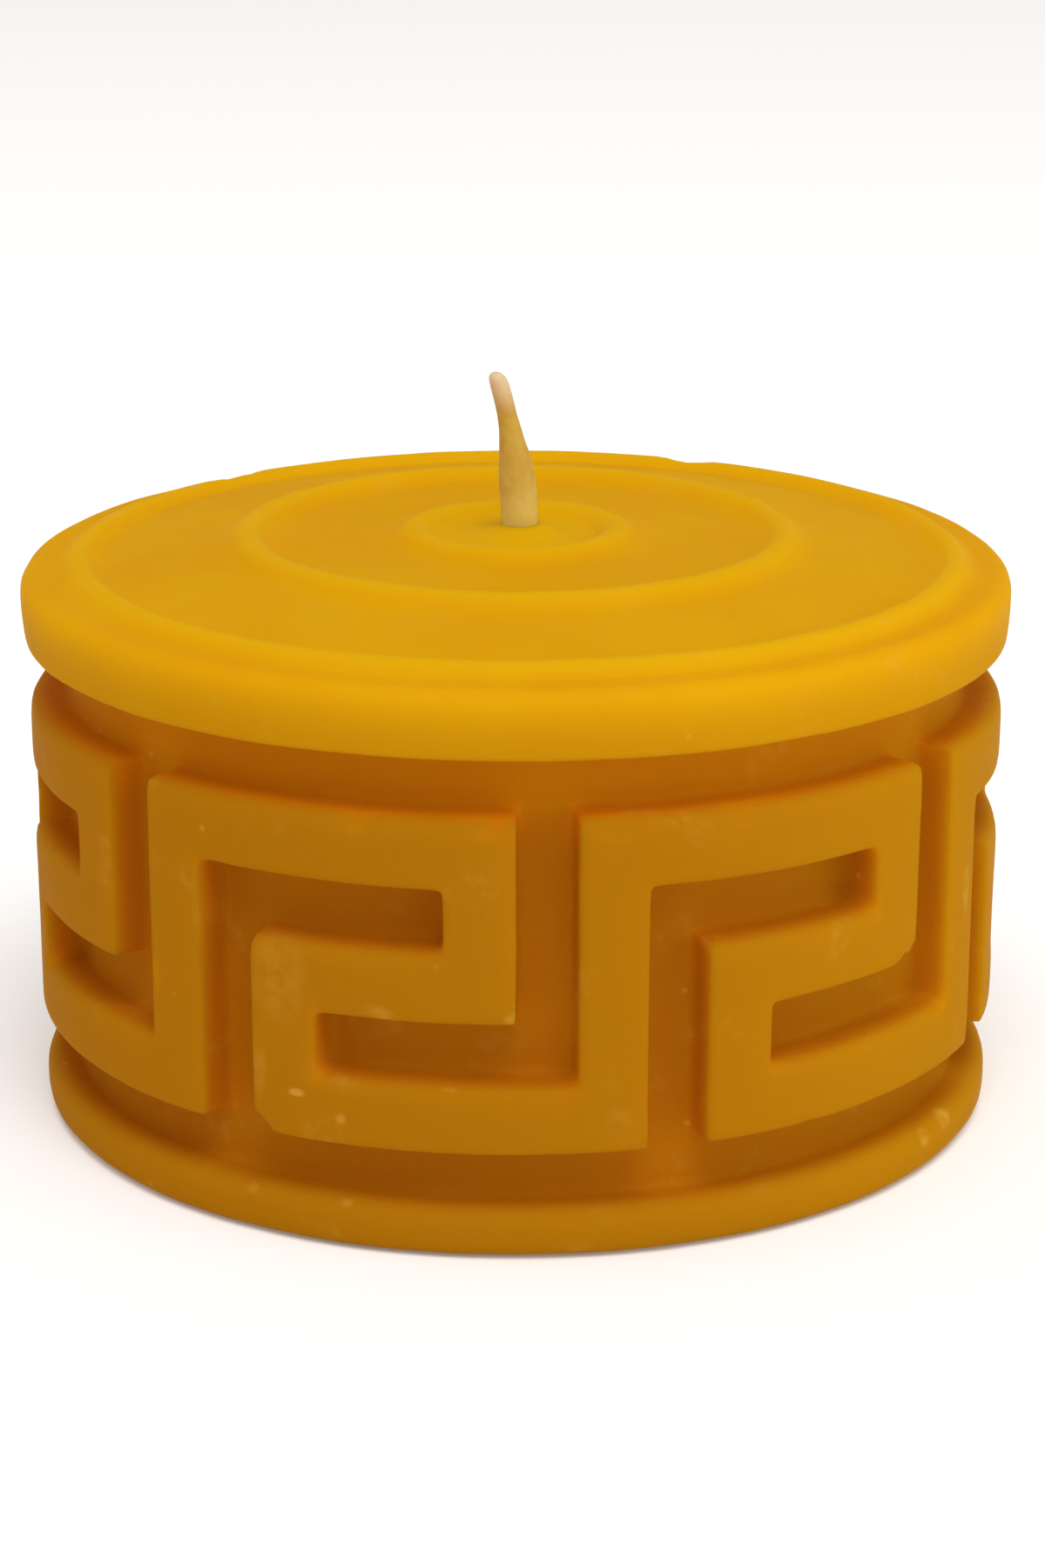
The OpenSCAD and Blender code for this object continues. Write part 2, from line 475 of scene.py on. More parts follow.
class Graph:
    """Node graph of one material."""

    def __init__(self, name: str) -> None:
        """Starts an empty material with its shader.

        Args:
            name: Name of the material.
        """
        self.material = bpy.data.materials.new(name)
        self.material.use_nodes = True
        self.material.node_tree.nodes.clear()
        self.shader = self.node("ShaderNodeBsdfPrincipled", {"subsurface_method": "BURLEY"})
        self.node("ShaderNodeOutputMaterial", sockets={"Surface": self.shader.outputs[0]})
        self.place = self.node("ShaderNodeTexCoord").outputs["Object"]

    def node(
        self,
        kind: str,
        settings: Optional[dict[str, object]] = None,
        sockets: Optional[dict[Union[str, int], object]] = None,
    ) -> bpy.types.Node:
        """Adds a node.

        Args:
            kind: Type of the node.
            settings: Properties, which are set first.
            sockets: Values or links of its inputs, by name or number.

        Returns:
            The node.
        """
        node = self.material.node_tree.nodes.new(kind)
        for name, value in (settings or {}).items():
            setattr(node, name, value)
        for name, value in (sockets or {}).items():
            self.feed(node.inputs[name], value)
        return node

    def feed(self, socket: bpy.types.NodeSocket, value: object) -> None:
        """Gives an input its link or value.

        Args:
            socket: Input to feed.
            value: A Value, an output socket or plain numbers.
        """
        if isinstance(value, Value):
            value = value.socket
        if isinstance(value, bpy.types.NodeSocket):
            self.material.node_tree.links.new(value, socket)
        else:
            socket.default_value = value

    def axis(self, index: int) -> Value:
        """Coordinate of the shaded point along one axis, in metres."""
        split = self.node("ShaderNodeSeparateXYZ", sockets={0: self.place})
        return Value(self, split.outputs[index])

    def radius(self) -> Value:
        """Distance of the shaded point from the candle's middle."""
        flat = self.node("ShaderNodeVectorMath", {"operation": "MULTIPLY"}, {0: self.place, 1: (1, 1, 0)})
        node = self.node("ShaderNodeVectorMath", {"operation": "LENGTH"}, {0: flat.outputs[0]})
        return Value(self, node.outputs["Value"])

    def noise(self, size: float, detail: float = 2.0, stretch: Sequence[float] = (1, 1, 1)) -> Value:
        """Soft noise over the piece.

        Args:
            size: Size of its patches in metres.
            detail: How much finer noise is laid over it.
            stretch: Factors on the coordinates.

        Returns:
            Noise between about 0.2 and 0.8.
        """
        sockets = {0: self.place, 1: tuple(stretch)}
        spread = self.node("ShaderNodeVectorMath", {"operation": "MULTIPLY"}, sockets)
        node = self.node(
            "ShaderNodeTexNoise",
            sockets={"Vector": spread.outputs[0], "Scale": 1 / size, "Detail": detail},
        )
        return Value(self, node.outputs[0])

    def specks(self, size: float, share: float) -> Value:
        """Small scattered spots.

        Args:
            size: Distance between spots in metres.
            share: Radius of a spot as a share of that distance.

        Returns:
            1 in the spots and 0 between them.
        """
        node = self.node(
            "ShaderNodeTexVoronoi",
            {"feature": "F1"},
            {"Vector": self.place, "Scale": 1 / size, "Randomness": 1.0},
        )
        return Value(self, node.outputs["Distance"]).ramp(share, share * 0.4)

    def patch(self, at: Vector, reach: float, tall: float = 1.0) -> Value:
        """Soft round or upright patch at one place.

        Args:
            at: Middle of the patch.
            reach: Radius at which it has faded out.
            tall: Its height as a factor on its width.

        Returns:
            1 in the middle and 0 outside.
        """
        apart = self.node("ShaderNodeVectorMath", {"operation": "SUBTRACT"}, {0: self.place, 1: tuple(at)})
        sockets = {0: apart.outputs[0], 1: (1, 1, 1 / tall)}
        flat = self.node("ShaderNodeVectorMath", {"operation": "MULTIPLY"}, sockets)
        node = self.node("ShaderNodeVectorMath", {"operation": "LENGTH"}, {0: flat.outputs[0]})
        return Value(self, node.outputs["Value"]).ramp(reach, reach * 0.3)

    def mix(self, share: Number, low: object, high: object) -> bpy.types.NodeSocket:
        """Blends two colours.

        Args:
            share: 0 for the first colour, 1 for the second.
            low: First colour, or a socket that gives it.
            high: Second colour, or a socket that gives it.

        Returns:
            Socket of the blended colour.
        """
        node = self.node("ShaderNodeMix", {"data_type": "RGBA"}, {0: share, 6: low, 7: high})
        return node.outputs[2]

    def bump(
        self, height: Value, depth: float, under: Optional[bpy.types.NodeSocket] = None
    ) -> bpy.types.NodeSocket:
        """Raises the surface by a height map.

        Args:
            height: Height between 0 and 1.
            depth: Height in metres of 1.
            under: Normal of the bumps under this one.

        Returns:
            The normal.
        """
        sockets = {"Height": height, "Distance": depth, "Strength": 1.0}
        if under is not None:
            sockets["Normal"] = under
        return self.node("ShaderNodeBump", sockets=sockets).outputs[0]

    def shade(self, **sockets: object) -> bpy.types.Material:
        """Feeds the shader and returns the material.

        Args:
            sockets: Inputs of the shader, with underscores for spaces.

        Returns:
            The finished material.
        """
        for name, value in sockets.items():
            self.feed(self.shader.inputs[name.replace("_", " ")], value)
        return self.material


Colour = tuple[float, float, float, float]


def srgb(red: int, green: int, blue: int) -> Colour:
    """Turns a colour as seen on a screen into a linear one.

    Args:
        red: Red from 0 to 255.
        green: Green from 0 to 255.
        blue: Blue from 0 to 255.

    Returns:
        The linear colour.
    """
    shares = [value / 255 for value in (red, green, blue)]
    line = [s / 12.92 if s <= 0.04045 else ((s + 0.055) / 1.055) ** 2.4 for s in shares]
    return (line[0], line[1], line[2], 1.0)


@dataclass(frozen=True)
class Mark:
    """Pale mark, in degrees from +X and millimetres: most are dried or rubbed wax, and those on the middle
    ring of the top are painted highlights.
    """

    degrees: float
    r: float
    z: float
    reach: float
    strength: float
    tall: float = 1.0


BLOOM_AND_PAINTED_HIGHLIGHT_MARKS = (
    Mark(-116.5, 39.4, 21.0, 3.0, 0.22, 1.6),
    Mark(-119.3, 39.4, 14.0, 1.0, 0.22, 3.5),
    Mark(-105.0, 39.5, 19.2, 1.6, 0.35, 0.7),
    Mark(-90.0, 39.5, 19.3, 1.2, 0.40, 0.8),
    Mark(-97.2, 39.5, 13.7, 0.9, 0.8, 0.4),
    Mark(-114.5, 39.5, 12.3, 0.9, 0.8, 0.5),
    Mark(-109.3, 39.5, 10.7, 0.6, 0.50),
    Mark(-26.8, 39.3, 22.4, 0.9, 0.5, 3.4),
    Mark(-121.0, 39.2, 3.8, 0.9, 0.45),
    Mark(-109.1, 39.0, 4.0, 0.8, 0.45),
    Mark(-34.7, 39.3, 3.1, 1.1, 0.75),
    Mark(-29.1, 39.2, 3.6, 1.5, 0.75),
    # Painted highlights: a thin bright line along the inner foot of the middle ring, and a spot on the
    # ring's far side.
    Mark(-165.5, 20.4, 46.2, 0.5, 0.8),
    Mark(-163.0, 20.5, 46.2, 0.5, 1.0),
    Mark(-160.5, 20.6, 46.2, 0.5, 1.0),
    Mark(-158.0, 20.6, 46.2, 0.5, 0.9),
    Mark(-155.0, 20.7, 46.2, 0.5, 0.6),
    Mark(12.0, 22.6, 46.6, 0.6, 1.0),
    Mark(-39.5, 35.9, 45.2, 0.6, 0.6),
    Mark(-46.5, 39.4, 43.4, 0.7, 0.6),
    Mark(-44.8, 39.3, 43.6, 0.6, 0.5),
    Mark(-41.8, 39.9, 42.0, 0.5, 0.5),
    Mark(143.0, 35.3, 45.6, 1.3, 0.5),
    Mark(163.0, 35.3, 45.4, 1.3, 0.5),
)


@dataclass(frozen=True)
class WaxFinish:
    """Golden beeswax that light enters and leaves again, with painted shade on its sides and in its recesses
    and painted light on its right side and on the rings of its top.
    """

    name: str = "golden_beeswax"
    gold: Colour = srgb(209, 152, 9)
    amber: Colour = srgb(206, 143, 8)
    # Painted light on the rings of the top and in the dish; the sheen takes this colour too.
    painted_crest_light: Colour = srgb(211, 160, 11)
    # Painted shade: the colour that the sides and everything below the top are shaded towards.
    side: Colour = srgb(165, 106, 9)
    # Painted shade of the recesses: the floor and walls of the key band and the groove under the cap, darker
    # lower down.
    painted_recess_shade: Colour = srgb(194, 115, 8)
    painted_deep_recess_shade: Colour = srgb(170, 98, 9)
    # Pale colour of the bloom, the specks and the marks, some of which are painted highlights.
    bloom_and_painted_highlight: Colour = srgb(208, 158, 62)
    depth: float = 3.6 * MM
    gloss: float = 0.42
    painted_side_shade_share: float = 0.5
    painted_recess_shade_share: float = 0.85
    painted_crest_light_share: float = 0.8
    frost_share: float = 0.14
    speck_share: float = 0.3
    mark_share: float = 0.7
    marks: tuple[Mark, ...] = ()

    def material(self, sizes: CandleSizes) -> bpy.types.Material:
        """Builds the wax.

        Args:
            sizes: Sizes of the candle, which place the painted shade of the recesses and sides and the
                painted light on the rings.

        Returns:
            The material.
        """
        graph = Graph(self.name)
        height, radius = graph.axis(2), graph.radius()
        drift = graph.noise(14 * MM, 3.0).ramp(0.35, 0.65)
        tone = graph.mix(drift * 0.5, self.gold, self.amber)
        low, high = sizes.foot_h, sizes.cap_z
        # Painted shade: the wax darkens from the top down the cap's side, and more below the cap, as light
        # from above falls off.
        down = height.ramp(sizes.rim_z, high + 0.5 * MM) * self.painted_side_shade_share
        painted_shade_under_cap = height.ramp(high + 0.6 * MM, high - 0.4 * MM)
        # Painted light: towards +X the wax is lit lighter, with less painted shade on its sides and in its
        # recesses.
        painted_right_light = graph.axis(0).ramp(8 * MM, 38 * MM)
        painted_side_shade_mask = down + painted_shade_under_cap * self.painted_side_shade_share
        tone = graph.mix(painted_side_shade_mask * (1 - painted_right_light * 0.2), tone, self.side)
        # Painted shade in the recesses of the band, darker lower down where the bars above shade the
        # grooves.
        in_band = height.ramp(low - 0.6 * MM, low + 0.4 * MM) * height.ramp(high + 0.4 * MM, high - 0.4 * MM)
        painted_recess_mask = radius.ramp(sizes.key_r - 0.3 * MM, sizes.key_r - 1.5 * MM) * in_band
        shade = graph.mix(height.ramp(high - 2 * MM, high - 9 * MM), self.painted_recess_shade, self.painted_deep_recess_shade)
        tone = graph.mix(painted_recess_mask * (self.painted_recess_shade_share - painted_right_light * 0.35), tone, shade)
        # Painted light: the rings of the top and the dish inside the inner ring are made paler and yellower.
        raised = radius.ramp(sizes.inner_ring_r, sizes.inner_ring_r * 0.7)
        for ring in sizes.rings:
            near = radius.ramp(ring - sizes.ring_w / 2, ring - 0.4 * MM)
            raised = raised + near * radius.ramp(ring + sizes.ring_w / 2, ring + 0.4 * MM)
        on_top = height.ramp(sizes.rim_z - 1.5 * MM, sizes.rim_z - 0.5 * MM)
        tone = graph.mix(raised * on_top * self.painted_crest_light_share, tone, self.painted_crest_light)
        frost = graph.noise(5 * MM, 4.0).ramp(0.56, 0.72) * graph.noise(1.1 * MM, 2.0).ramp(0.35, 0.65)
        tone = graph.mix(frost * self.frost_share, tone, self.bloom_and_painted_highlight)
        spots = graph.specks(5.2 * MM, 0.07) * self.speck_share
        patchy = graph.noise(1.3 * MM, 3.0).ramp(0.25, 0.6)
        # Pale marks: dried or rubbed wax, and painted highlights on the middle ring of the top.
        for mark in self.marks:
            at = polar(mark.degrees, mark.r * MM, mark.z * MM)
            pale = graph.patch(at, mark.reach * MM, mark.tall) * patchy
            spots = spots + pale * (mark.strength * self.mark_share)
        tone = graph.mix(spots, tone, self.bloom_and_painted_highlight)
        grain = graph.noise(0.5 * MM, 3.0)
        pores = graph.specks(2.3 * MM, 0.1)
        soft = graph.noise(3.2 * MM, 3.0)
        normal = graph.bump(soft, 0.10 * MM)
        normal = graph.bump(grain - pores * 0.8, 0.012 * MM, normal)
        rough = self.gloss + graph.noise(2.4 * MM, 4.0) * 0.16 + frost * 0.12
        return graph.shade(
            Base_Color=tone,
            Roughness=rough,
            Normal=normal,
            IOR=1.44,
            Specular_IOR_Level=0.005,
            Sheen_Weight=0.06,
            Sheen_Tint=self.painted_crest_light,
            Subsurface_Weight=1.0,
            Subsurface_Radius=(1.0, 0.45, 0.1),
            Subsurface_Scale=self.depth,
        )


@dataclass(frozen=True)
class WickFinish:
    """Thin pale wax over cotton, creamier towards the trimmed tip."""

    name: str = "waxed_wick"
    tan: Colour = srgb(212, 182, 92)
    amber: Colour = srgb(187, 144, 50)
    cream: Colour = srgb(212, 184, 144)

    def material(self, sizes: CandleSizes) -> bpy.types.Material:
        """Builds the waxed cotton.

        Args:
            sizes: Sizes of the candle, which place the tip.

        Returns:
            The material.
        """
        graph = Graph(self.name)
        height = graph.axis(2)
        blotch = graph.noise(1.6 * MM, 3.0).ramp(0.35, 0.65)
        bend = sizes.top_z(0) + 5 * MM
        rise = height.ramp(bend - 2 * MM, bend + 2 * MM)
        tone = graph.mix(rise * 0.75 + blotch * 0.25, self.tan, self.amber)
        tip = height.ramp(sizes.tip_z - 4.0 * MM, sizes.tip_z - 0.6 * MM)
        tone = graph.mix(tip, tone, self.cream)
        weave = graph.noise(0.5 * MM, 2.0, (1, 1, 0.45))
        return graph.shade(
            Base_Color=tone,
            Roughness=0.4 + blotch * 0.15,
            Normal=graph.bump(weave, 0.08 * MM),
            IOR=1.44,
            Specular_IOR_Level=0.15,
            Subsurface_Weight=0.6,
            Subsurface_Radius=(1.0, 0.6, 0.3),
            Subsurface_Scale=1.2 * MM,
        )


@dataclass(frozen=True)
class CottonFinish:
    """Undyed cotton yarn, with its fine threads running along the strand."""

    name: str = "cotton_yarn"
    light: Colour = srgb(238, 226, 196)
    dark: Colour = srgb(196, 172, 128)

    def material(self) -> bpy.types.Material:
        """Builds the yarn."""
        graph = Graph(self.name)
        threads = graph.noise(0.22 * MM, 3.0, (1, 1, 0.25))
        share = threads.ramp(0.35, 0.65)
        return graph.shade(
            Base_Color=graph.mix(share, self.dark, self.light),
            Roughness=0.75 + share * 0.15,
            Normal=graph.bump(threads, 0.06 * MM),
            Sheen_Weight=0.3,
        )


@dataclass(frozen=True)
class PaperFinish:
    """Plain pale paper of the studio floor."""

    name: str = "pale_paper"
    tone: Colour = (0.93, 0.93, 0.93, 1.0)
    glow: float = 0.12

    def material(self) -> bpy.types.Material:
        """Builds the paper."""
        graph = Graph(self.name)
        return graph.shade(
            Base_Color=self.tone,
            Roughness=0.9,
            Specular_IOR_Level=0.0,
            Emission_Color=self.tone,
            Emission_Strength=self.glow,
        )


# ---------------------------------------------------------------- the candle


@dataclass(frozen=True)
class Dent:
    """Dent, chip or softened corner of a bar, in degrees from +X and millimetres."""

    degrees: float
    z: float
    reach: float
    inward: float
    up: float = 0.0
    aside: float = 0.0


DENTS = (
    Dent(-65.8, 33.3, 2.0, 0.35, -0.1),
    Dent(-64.8, 34.6, 1.2, 0.15, -0.35),
    Dent(-107.0, 34.6, 1.2, 0.2, -0.6),
    Dent(-92.0, 34.6, 1.4, 0.2, -0.7),
    Dent(-133.5, 18.2, 0.6, 0.45),
    Dent(-119.6, 8.5, 1.7, 0.15, 0.7, 0.7),
    Dent(-40.0, 18.8, 1.7, 0.15, 0.6, -0.6),
    Dent(-118.8, 24.0, 1.2, 0.20, -0.2, 0.2),
)


@dataclass
class WaxBody:
    """The first pour: cap, key band, foot ring and the rings of the top."""

    sizes: CandleSizes
    finish: bpy.types.Material
    wall_round: float = 1.1 * MM
    crisp: float = 0.45
    soft: float = 0.55
    wobble: float = 0.22 * MM
    cap_tilt: float = math.radians(0.45)
    climb: float = 1.45 * MM
    climb_steps: tuple[tuple[float, float], ...] = (
        (6.0, 0.0), (4.6, 0.1), (3.6, 0.28), (2.8, 0.5), (2.2, 0.75), (1.7, 0.95), (0.8, 1.0), (0.0, 1.0),
    )
    ring_wear: tuple[float, ...] = (1.0, 0.92, 0.78)
    ring_spread: tuple[float, ...] = (-0.15 * MM, 0.3 * MM, 0.3 * MM)
    sweep_edges: tuple[int, ...] = (2, 2, 2, 4, 2, 2)
    notches: tuple[float, ...] = (133.2, 64.8)
    notch_reach: float = 3.4 * MM
    notch_depth: float = 1.3 * MM
    nick_count: int = 26
    seed: int = 11
    outline: list[tuple[float, float]] = field(default_factory=list)

    def _arc(self, r: float, z: float, size: float, start: float, end: float, steps: int) -> None:
        """Adds a rounded corner to the outline.

        Args:
            r: Radius of the corner's centre.
            z: Height of the corner's centre.
            size: Radius of the rounding.
            start: First angle in degrees.
            end: Last angle in degrees.
            steps: Number of edges.
        """
        for i in range(steps + 1):
            angle = math.radians(start + (end - start) * i / steps)
            self.outline.append((r + size * math.cos(angle), z + size * math.sin(angle)))

    def _draw_base(self) -> None:
        """Outline from the bore, round the hollow of the base, to the floor of the band."""
        s = self.sizes
        bore, deep = s.wick_r - 0.06 * MM, s.pour_h + 6 * MM
        self.outline += [(0.0, deep), (bore, deep), (bore, s.pour_h), (s.wick_r + 2 * MM, s.pour_h)]
        self.outline += [(s.pour_r * 0.6, s.pour_h * 0.76), (s.pour_r, s.pour_h / 2)]
        lip = 0.35 * MM
        self.outline += [(s.pour_r, 1.2 * MM)]
        self._arc(s.pour_r + lip, lip, lip, 180, 270, 2)
        edge = 1.3 * MM
        inner, outer = s.pour_r + lip, s.foot_r - edge
        self.outline += [(inner + (outer - inner) * share, 0.0) for share in (0.12, 0.35, 0.6, 0.82, 0.95)]
        self._arc(outer, edge, edge, -90, 0, 3)
        top_round = 1.5 * MM
        self._arc(s.foot_r - top_round, s.foot_h - top_round, top_round, 0, 90, 4)
        self.outline += [(s.floor_r + 0.5 * MM, s.foot_h), (s.floor_r, s.foot_h)]
        self.outline += [(s.floor_r, s.foot_h + 0.6 * MM), (s.floor_r, s.foot_h + s.groove_h / 2)]

    def _draw_band(self) -> None:
        """Outline of the floor of the key band, with a point at every bar's edge."""
        s = self.sizes
        for low, high in zip(s.levels, s.levels[1:]):
            self.outline += [(s.floor_r, low), (s.floor_r, (low + high) / 2)]
        self.outline += [(s.floor_r, s.levels[-1]), (s.floor_r, s.cap_z - s.groove_h / 2)]

    def _draw_cap(self) -> None:
        """Outline of the cap's underside, its crisp lower edge, its side and shoulder."""
        s = self.sizes
        self.outline += [(s.floor_r, s.cap_z - 0.5 * MM), (s.floor_r, s.cap_z)]
        self.outline += [(s.floor_r + 0.6 * MM, s.cap_z), (s.floor_r + 2 * MM, s.cap_z)]
        inset, edge = 0.2 * MM, 0.3 * MM
        self._arc(s.cap_r - inset - edge, s.cap_z + edge, edge, -90, 0, 2)
        side = s.rim_z - s.shoulder_r - s.cap_z
        for share in (0.4, 0.75):
            self.outline.append((s.cap_r - inset * (1 - share) ** 2, s.cap_z + side * share))
        self._arc(s.cap_r - s.shoulder_r, s.rim_z - s.shoulder_r, s.shoulder_r, 0, 90, 5)

    def _draw_top(self) -> None:
        """Outline of the top over its three rings, to the wax that climbs the wick."""
        s = self.sizes
        inward = s.rings[1:] + [0.0]
        for ring, following, share, wider in zip(s.rings, inward, self.ring_wear, self.ring_spread):
            half = s.ring_w / 2 + wider
            for i in range(11):
                offset = half * (1 - i / 5)
                bump = s.ring_h * share * math.cos(math.pi / 2 * abs(offset / half) ** 1.35) ** 2
                r = ring + offset
                if r < s.cap_r - s.shoulder_r - 0.1 * MM:
                    self.outline.append((r, s.top_z(r) + bump))
            inner, end = ring - half, following + s.ring_w / 2 + self.ring_spread[-1]
            if following:
                for step in (0.2, 0.4, 0.6, 0.8):
                    r = inner + (end - inner) * step
                    self.outline.append((r, s.top_z(r)))
        for r, share in self.climb_steps:
            self.outline.append((r * MM, s.top_z(r * MM) + self.climb * share))

    def _spin(self) -> Piece:
        """Draws the half section and turns it round the candle's middle."""
        s = self.sizes
        for draw in (self._draw_base, self._draw_band, self._draw_cap, self._draw_top):
            draw()
        way = Vector((math.cos(s.first_edge), math.sin(s.first_edge), 0))
        points = [way * r + Vector((0, 0, z)) for r, z in self.outline]
        piece = Piece("wax_casting", lambda: bpy.ops.mesh.primitive_plane_add(size=MM, location=points[0]))
        piece.draw(points)
        sweeps = [(b - a, n) for a, b, n in zip(s.stops, s.stops[1:], self.sweep_edges)]
        piece.spin_round(sweeps * s.key_count, Vector(CENTRE))
        return piece

    def _raise_key(self, piece: Piece) -> None:
        """Extrudes the bars from the floor of the band and weighs their edges.

        Args:
            piece: The spun casting.
        """
        s = self.sizes
        low, high = s.levels[0], s.levels[-1]
        slack = 0.5 * MM

        def on_floor(at: Vector, _: Vector) -> bool:
            """Tells whether a place lies on the floor of the band."""
            return abs(at.xy.length - s.floor_r) < slack and low < at.z < high

        piece.take(Part.FACE, lambda at, n: on_floor(at, n) and s.is_bar(at))
        bpy.ops.mesh.extrude_region_move(TRANSFORM_OT_translate={"value": CENTRE})
        grow = s.key_r / s.floor_r
        bpy.ops.transform.resize(value=(grow, grow, 1), center_override=CENTRE)

        def is_upper_rim(at: Vector, n: Vector) -> bool:
            """Tells whether a place lies on the upper edge of a bar's front."""
            return abs(at.xy.length - s.key_r) < 0.1 * MM and low < at.z <= high + slack and n.z > 0.7

        piece.take_all(Part.EDGE)
        bpy.ops.mesh.select_all(action="DESELECT")
        bpy.ops.mesh.edges_select_sharp(sharpness=math.radians(60))
        piece.weigh(self.crisp)
        count = piece.take(Part.EDGE, is_upper_rim)
        piece.weigh(self.soft)
        LOG.info("key band: %d soft upper edges", count)

    def _mark(self, piece: Piece) -> None:
        """Adds the dents, chips and softened corners of a hand-made casting.

        Args:
            piece: The smooth casting.
        """
        s = self.sizes
        piece.edit()
        for degrees in self.notches:
            at = polar(degrees, s.rings[0] + 1.8 * MM, s.rim_z + s.ring_h / 2)
            piece.press(at, self.notch_reach, Vector((0, 0, -self.notch_depth)))
        for dent in DENTS:
            at = polar(dent.degrees, s.key_r, dent.z * MM)
            outward = at.xy.normalized()
            push = Vector((
                -outward.x * dent.inward - outward.y * dent.aside,
                -outward.y * dent.inward + outward.x * dent.aside,
                dent.up,
            ))
            piece.press(at, dent.reach * MM, push * MM)
        rng = random.Random(self.seed)
        for _ in range(self.nick_count):
            degrees = rng.uniform(0, 360)
            ledge = rng.choice((s.levels[1], s.levels[3], s.levels[5], s.levels[0]))
            reach = rng.uniform(0.7, 1.5) * MM
            at = polar(degrees, s.key_r - 0.3 * MM, ledge)
            inward = -at.xy.normalized() * reach * 0.22
            piece.press(at, reach, Vector((inward.x, inward.y, 0)))

    def build(self) -> None:
        """Models, dresses and places the casting."""
        s = self.sizes
        piece = self._spin()
        self._raise_key(piece)
        piece.take(Part.POINT, lambda at, _: at.xy.length < s.pour_r + 0.1 * MM and at.z < s.pour_h + 7 * MM)
        bpy.ops.transform.translate(value=(s.wick_shift, 0, 0))
        piece.take(Part.POINT, lambda at, _: at.xy.length < 3 * MM and at.z > s.cap_z)
        bpy.ops.transform.translate(value=(s.wick_shift, 0, 0))
        piece.take(Part.POINT, lambda at, _: at.z > s.cap_z - 0.1 * MM)
        hinge = Vector((0, -s.cap_r, s.cap_z))
        bpy.ops.transform.rotate(value=-self.cap_tilt, orient_axis="X", center_override=hinge)
        piece.finish_with("BEVEL", width=self.wall_round, segments=2, limit_method="WEIGHT")
        piece.finish_with("SUBSURF", levels=1, render_levels=1)
        piece.finish_with(
            "DISPLACE",
            texture=clouds("hand_wobble", 11 * MM),
            strength=self.wobble,
            mid_level=1.0,
            texture_coords="LOCAL",
        )
        self._mark(piece)
        piece.done(Slot.BEESWAX, self.finish, "wax_body")


@dataclass
class BaseFill:
    """The second pour, which fills the hollow round the wick in the base."""

    sizes: CandleSizes
    finish: bpy.types.Material
    gap: float = 0.04 * MM
    sink: float = 0.45 * MM

    def build(self) -> None:
        """Models, dresses and places the plug."""
        s = self.sizes
        middle = Vector((s.wick_shift, 0, 0))
        bore = s.wick_r + self.gap
        rim = s.pour_r - self.gap
        dish = ((2.6, 1.0), (4.5, 0.9), (7.0, 0.6), (10.0, 0.3), (13.0, 0.12))
        surface = [(bore, self.sink * 0.5)] + [(r * MM, self.sink * share) for r, share in dish]
        surface += [(rim - 0.4 * MM, 0.06 * MM)]
        side = [(rim, 0.4 * MM), (rim, 1.4 * MM), (rim, s.pour_h / 2), (s.pour_r * 0.6, s.pour_h * 0.74)]
        roof = [(s.wick_r + 2 * MM, s.pour_h - self.gap), (bore, s.pour_h - self.gap), (bore, s.pour_h / 2)]
        outline = surface + side + roof + surface[:1]
        points = [middle + Vector((r, 0, z)) for r, z in outline]
        piece = Piece("base_plug", lambda: bpy.ops.mesh.primitive_plane_add(size=MM, location=points[0]))
        piece.draw(points)
        piece.spin_round([(2 * math.pi, 64)], middle)
        piece.finish_with("SUBSURF", levels=1, render_levels=1)
        piece.finish_with(
            "DISPLACE",
            texture=clouds("pour_ripple", 4 * MM),
            strength=0.1 * MM,
            mid_level=1.0,
            texture_coords="LOCAL",
        )
        piece.done(Slot.FILL, self.finish, "base_fill")


